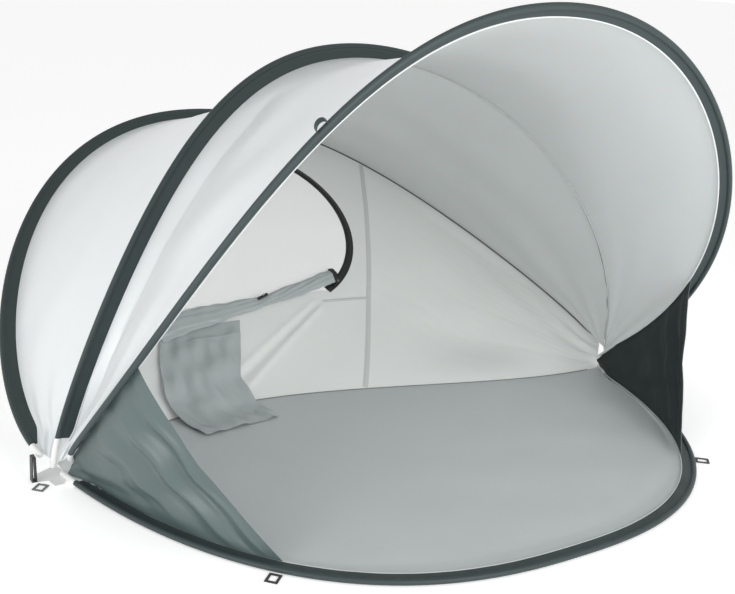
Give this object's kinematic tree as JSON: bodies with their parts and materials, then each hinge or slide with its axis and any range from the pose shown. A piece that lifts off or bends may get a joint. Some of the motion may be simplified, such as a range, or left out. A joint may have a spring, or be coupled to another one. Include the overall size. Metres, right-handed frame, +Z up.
{
  "type": "pop-up beach shelter",
  "caption": "Pop-up beach shelter: sprung hoops fan out from the ground corners and carry a roof, a back wall with a zipped mesh window, a floor and side wings",
  "frame": {"origin": "on the ground under the floor sheet, halfway between the two ground corners", "axes": "X from the left corner to the right corner, Y from the mouth to the back, Z up"},
  "size_m": [2.0182, 2.1636, 1.2139],
  "materials": {
    "rod": "pultruded glass-fibre rod, satin",
    "ferrule": "drawn steel tube",
    "tip": "moulded end cap",
    "sleeve": "plain woven polyester, dark slate",
    "roof": "silver-coated polyester",
    "lining": "pale grey coated polyester",
    "floor": "pale grey laminated floor sheet",
    "satin": "light grey satin polyester",
    "mesh": "fine knitted mesh",
    "white_fabric": "white reinforcement cloth",
    "webbing": "woven webbing and tape",
    "toggle": "moulded plastic, light gloss"
  },
  "bodies": {
    "ground": {"floor_rod": "rod", "floor_rod_ferrules": "ferrule", "floor_rod_tips": "tip", "floor_sleeve": "sleeve", "floor_end_pockets": "white_fabric", "floor_sheet": "floor", "wing_left": "sleeve", "wing_right": "sleeve", "corner_patch_left": "white_fabric", "corner_patch_right": "white_fabric", "corner_strap_left": "webbing", "corner_strap_right": "webbing"},
    "rear_hoop": {"rear_rod": "rod", "rear_rod_ferrules": "ferrule", "rear_rod_tips": "tip", "rear_sleeve": "sleeve", "rear_end_pockets": "white_fabric", "back_wall": "lining", "roof_rear": "roof", "window_mesh": "mesh", "window_zip": "webbing", "window_cover": "satin", "wall_pocket": "satin", "toggle_loops": "webbing"},
    "mid_hoop": {"mid_rod": "rod", "mid_rod_ferrules": "ferrule", "mid_rod_tips": "tip", "mid_sleeve": "sleeve", "mid_end_pockets": "white_fabric", "roof_front": "roof"},
    "front_hoop": {"front_rod": "rod", "front_rod_ferrules": "ferrule", "front_rod_tips": "tip", "front_sleeve": "sleeve", "front_end_pockets": "white_fabric", "front_piping": "white_fabric", "guy_loop": "sleeve"},
    "zip_slider": {"zip_slider": "toggle"},
    "zip_puller": {"zip_puller": "toggle"},
    "toggle_left": {"toggle_left": "toggle"},
    "toggle_middle": {"toggle_middle": "toggle"},
    "corner_peg_loop_left": {"corner_peg_loop_left": "webbing"},
    "corner_peg_loop_right": {"corner_peg_loop_right": "webbing"},
    "front_peg_loop_left": {"front_peg_loop_left": "webbing"},
    "front_peg_loop_right": {"front_peg_loop_right": "webbing"}
  },
  "joints": [
    {"name": "rear_fold", "type": "hinge", "parent": "ground", "child": "rear_hoop", "pos_m": [0, 0, 0.035], "axis": [1, 0, 0], "range_deg": [0, 104], "deforming": ["back_wall", "wing_left", "wing_right", "wall_pocket"]},
    {"name": "mid_fold", "type": "hinge", "parent": "rear_hoop", "child": "mid_hoop", "pos_m": [0, 0, 0.035], "axis": [1, 0, 0], "range_deg": [-46, 0], "deforming": ["roof_rear"]},
    {"name": "front_fold", "type": "hinge", "parent": "mid_hoop", "child": "front_hoop", "pos_m": [0, 0, 0.035], "axis": [1, 0, 0], "range_deg": [-18, 0], "deforming": ["roof_front"]},
    {"name": "zip_travel", "type": "hinge", "parent": "rear_hoop", "child": "zip_slider", "pos_m": [0, 0.78792, 0.39608], "axis": [0, -0.5454, 0.8382], "range_deg": [0, 148]},
    {"name": "puller_tilt", "type": "hinge", "parent": "zip_slider", "child": "zip_puller", "pos_m": [0.19192, 0.52426, 0.22987], "axis": [0.5244, -0.7137, -0.4644], "range_deg": [0, 110]},
    {"name": "toggle_left_turn", "type": "hinge", "parent": "rear_hoop", "child": "toggle_left", "pos_m": [-0.478, 0.46444, 0.2148], "axis": [0, -0.5454, 0.8382], "range_deg": [-80, 80]},
    {"name": "toggle_middle_turn", "type": "hinge", "parent": "rear_hoop", "child": "toggle_middle", "pos_m": [-0.096, 0.48874, 0.23062], "axis": [0, -0.5454, 0.8382], "range_deg": [-60, 60]},
    {"name": "corner_peg_loop_right_lift", "type": "hinge", "parent": "ground", "child": "corner_peg_loop_right", "pos_m": [0.973, -0.027, 0.001], "axis": [-0.7071, -0.7071, 0], "range_deg": [0, 40]},
    {"name": "front_peg_loop_right_lift", "type": "hinge", "parent": "ground", "child": "front_peg_loop_right", "pos_m": [0.65462, -0.64736, 0.001], "axis": [-0.6639, -0.7478, 0], "range_deg": [0, 80]},
    {"name": "corner_peg_loop_left_lift", "type": "hinge", "parent": "ground", "child": "corner_peg_loop_left", "pos_m": [-0.973, -0.027, 0.001], "axis": [-0.7071, 0.7071, 0], "range_deg": [0, 40]},
    {"name": "front_peg_loop_left_lift", "type": "hinge", "parent": "ground", "child": "front_peg_loop_left", "pos_m": [-0.65462, -0.64736, 0.001], "axis": [-0.6639, 0.7478, 0], "range_deg": [0, 80]}
  ],
  "couplings": [
    {"joint": "mid_fold", "follows": "rear_fold", "ratio": -0.44231},
    {"joint": "front_fold", "follows": "rear_fold", "ratio": -0.17308}
  ]
}
